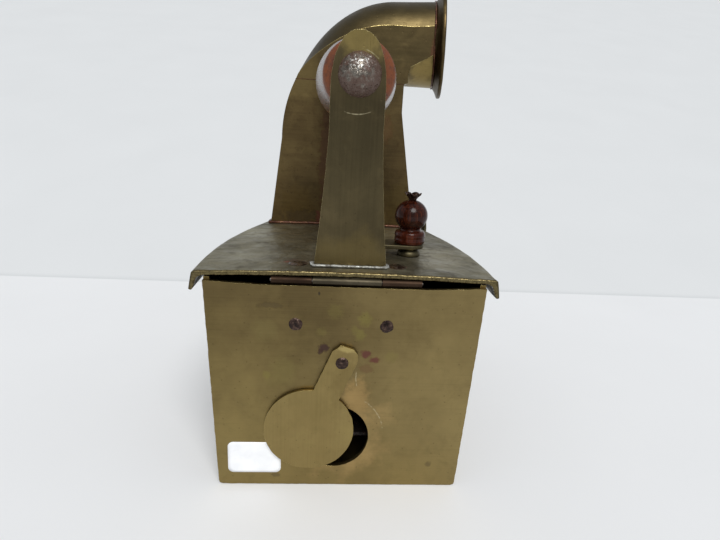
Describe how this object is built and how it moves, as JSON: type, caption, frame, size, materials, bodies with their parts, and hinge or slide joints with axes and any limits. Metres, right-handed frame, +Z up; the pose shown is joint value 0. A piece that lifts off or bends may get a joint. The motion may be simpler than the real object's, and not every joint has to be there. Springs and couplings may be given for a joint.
{
  "type": "charcoal box iron",
  "caption": "Brass charcoal box iron: boat-shaped box with a hinged lid, elbow chimney, turned wooden grip, swinging rear draught cover and a turning latch knob.",
  "frame": {"origin": "middle of the sole's lower face, on the surface that the iron stands on", "axes": "+Z up, +Y towards the pointed nose, +X to the side that the chimney mouth faces"},
  "size_m": [0.1038, 0.1491, 0.19],
  "materials": {
    "brass_sheet": "aged, brushed, with tarnish spots",
    "brass_sole": "worn smooth underneath",
    "brass_dark": "dull and darkened, hammered edge",
    "brass_strap": "aged, brushed along its length",
    "brass_flue": "aged, heat-browned sheet",
    "copper_rivet": "dark hammered copper",
    "copper_solder": "brown brazing",
    "solder": "grey-white solder, matte",
    "old_steel": "rusty and pitted",
    "sooty_iron": "sooty",
    "varnished_wood": "varnished, matte on its ends",
    "red_wood": "glossy red-brown varnish",
    "paper_label": "matte white paper, blank"
  },
  "bodies": {
    "base": {"sole_plate": "brass_sole", "body_wall": "brass_sheet", "rear_plate": "brass_sheet", "fire_grate": "sooty_iron", "grate_bars": "sooty_iron", "hinge_body_leaf": "brass_dark", "hinge_pin": "old_steel", "hinge_body_rivets": "copper_rivet", "damper_rivet": "copper_rivet", "latch_keeper": "brass_dark", "keeper_rivets": "copper_rivet", "side_tab": "brass_dark", "side_tab_rivet": "copper_rivet", "blank_label": "paper_label"},
    "damper": {"damper_cover": "brass_sheet"},
    "lid": {"lid_plate": "brass_dark", "hinge_lid_leaf": "brass_dark", "hinge_lid_rivets": "copper_rivet", "handle_post": "brass_strap", "post_solder": "solder", "handle_grip": "varnished_wood", "handle_bolt": "old_steel", "handle_washer": "old_steel", "handle_nut": "old_steel", "chimney_stack": "brass_flue", "chimney_elbow": "brass_flue", "chimney_rim": "brass_dark", "chimney_solder": "copper_solder", "latch_bush": "brass_dark"},
    "latch": {"latch_knob": "red_wood", "latch_crown": "red_wood", "latch_lever": "brass_dark", "latch_spindle": "old_steel", "latch_hook": "old_steel", "latch_nut": "old_steel"}
  },
  "joints": [
    {"name": "lid_hinge", "type": "hinge", "parent": "base", "child": "lid", "pos_m": [0, -0.06926, 0.0792], "axis": [1, 0, 0], "range_deg": [0, 90]},
    {"name": "damper_pivot", "type": "hinge", "parent": "base", "child": "damper", "pos_m": [-0.0006, -0.07136, 0.0507], "axis": [0, 1, 0], "range_deg": [-110, 66]},
    {"name": "latch_turn", "type": "hinge", "parent": "lid", "child": "latch", "pos_m": [0.024, -0.04246, 0.09], "axis": [0, 0, 1], "range_deg": [-90, 0]}
  ]
}
